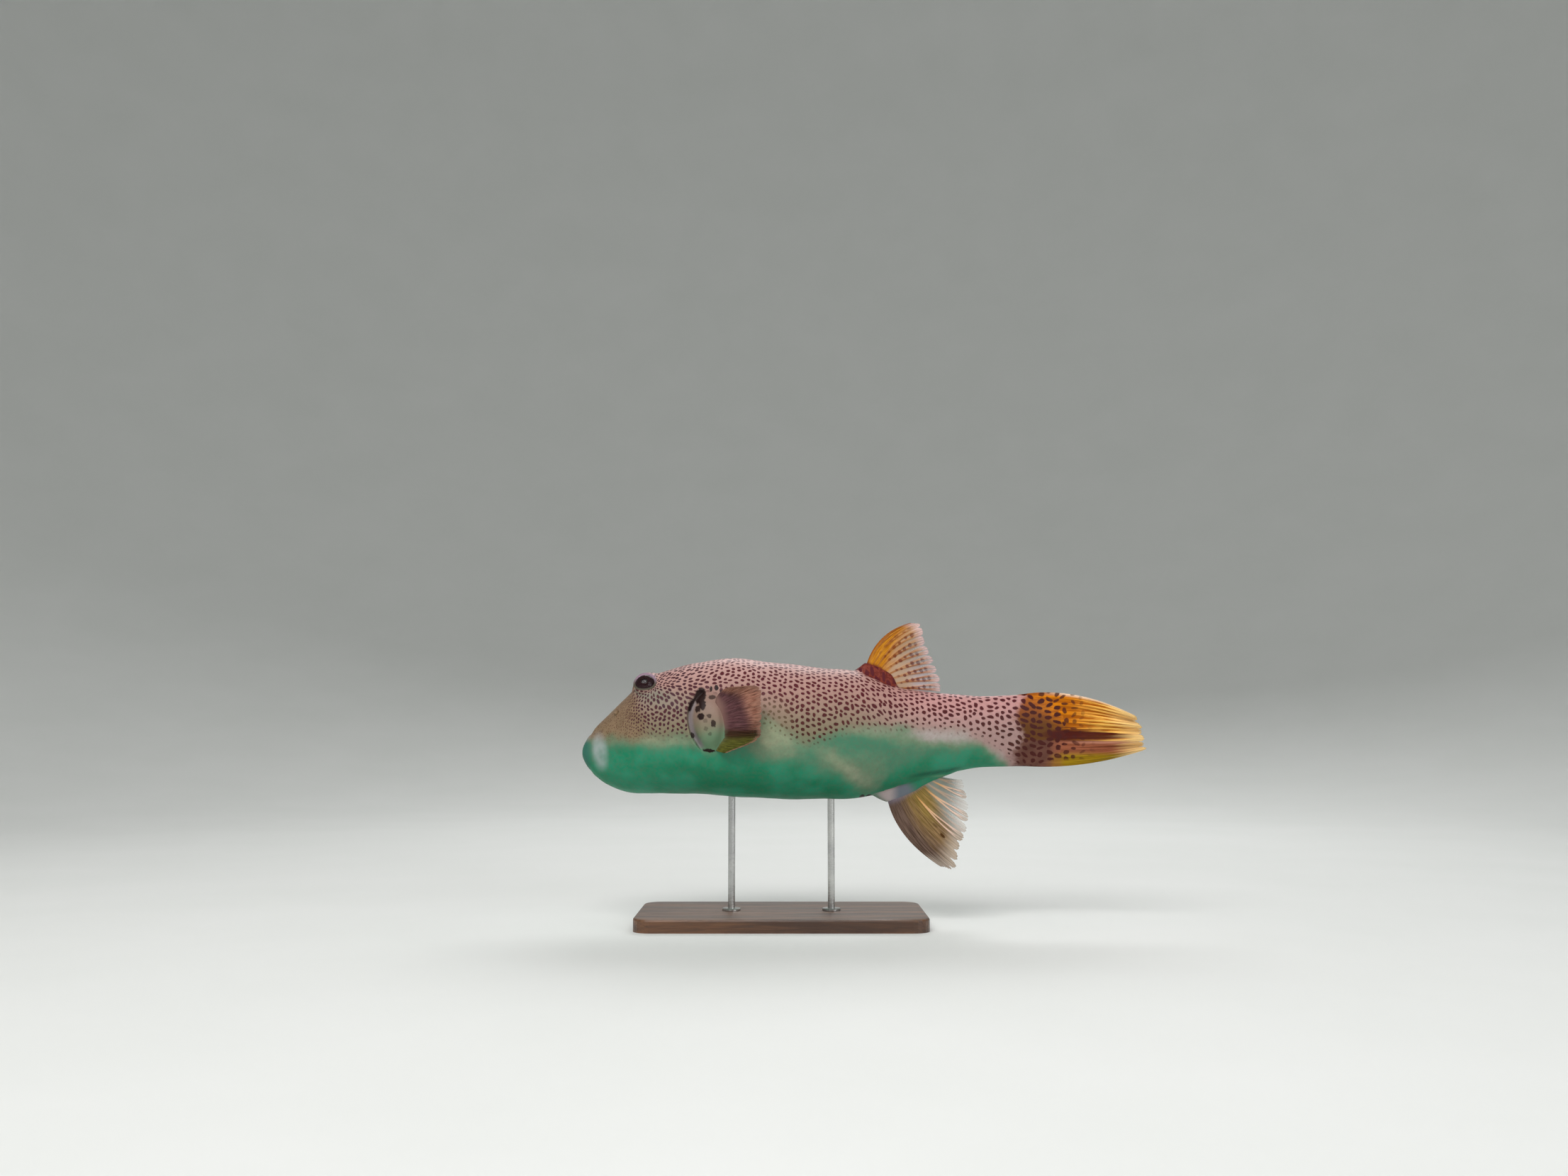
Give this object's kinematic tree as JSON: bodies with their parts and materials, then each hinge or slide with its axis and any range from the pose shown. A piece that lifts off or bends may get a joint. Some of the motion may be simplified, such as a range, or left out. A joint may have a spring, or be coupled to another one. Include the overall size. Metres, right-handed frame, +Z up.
{
  "type": "stellate pufferfish display model",
  "caption": "Life-size spotted pufferfish in a swimming pose, a still display model held above a flat base by upright rods.",
  "frame": {"origin": "middle of the stand's flat underside, on the surface that it stands on", "axes": "+Z up; the fish's head points to -X and its left side faces -Y"},
  "size_m": [0.7994, 0.2454, 0.4225],
  "materials": {
    "spotted_skin": "damp prickly skin: pinkish grey above with dense dark maroon spots, unspotted pale belly",
    "fin_membrane": "thin ribbed fin skin, amber to brown with paler, see-through edges",
    "eye": "wet, glossy, very dark maroon with a fine bronze ring",
    "beak": "ivory tooth plates, smooth, slightly worn at the biting edge",
    "stand_wood": "dark stained hardwood with a satin lacquer",
    "stand_steel": "fine brushed stainless steel"
  },
  "bodies": {
    "root": {"head": "spotted_skin", "trunk": "spotted_skin", "tail": "spotted_skin", "nasal_flap_left": "spotted_skin", "nasal_flap_right": "spotted_skin", "dorsal_fin_base": "spotted_skin", "anal_fin_base": "spotted_skin", "pectoral_fin_base_left": "spotted_skin", "pectoral_fin_base_right": "spotted_skin", "dorsal_fin": "fin_membrane", "anal_fin": "fin_membrane", "caudal_fin": "fin_membrane", "pectoral_fin_left": "fin_membrane", "pectoral_fin_right": "fin_membrane", "eye_left": "eye", "eye_right": "eye", "beak_upper": "beak", "beak_lower": "beak", "stand_base": "stand_wood", "stand_rod_front": "stand_steel", "stand_rod_rear": "stand_steel"}
  },
  "joints": []
}
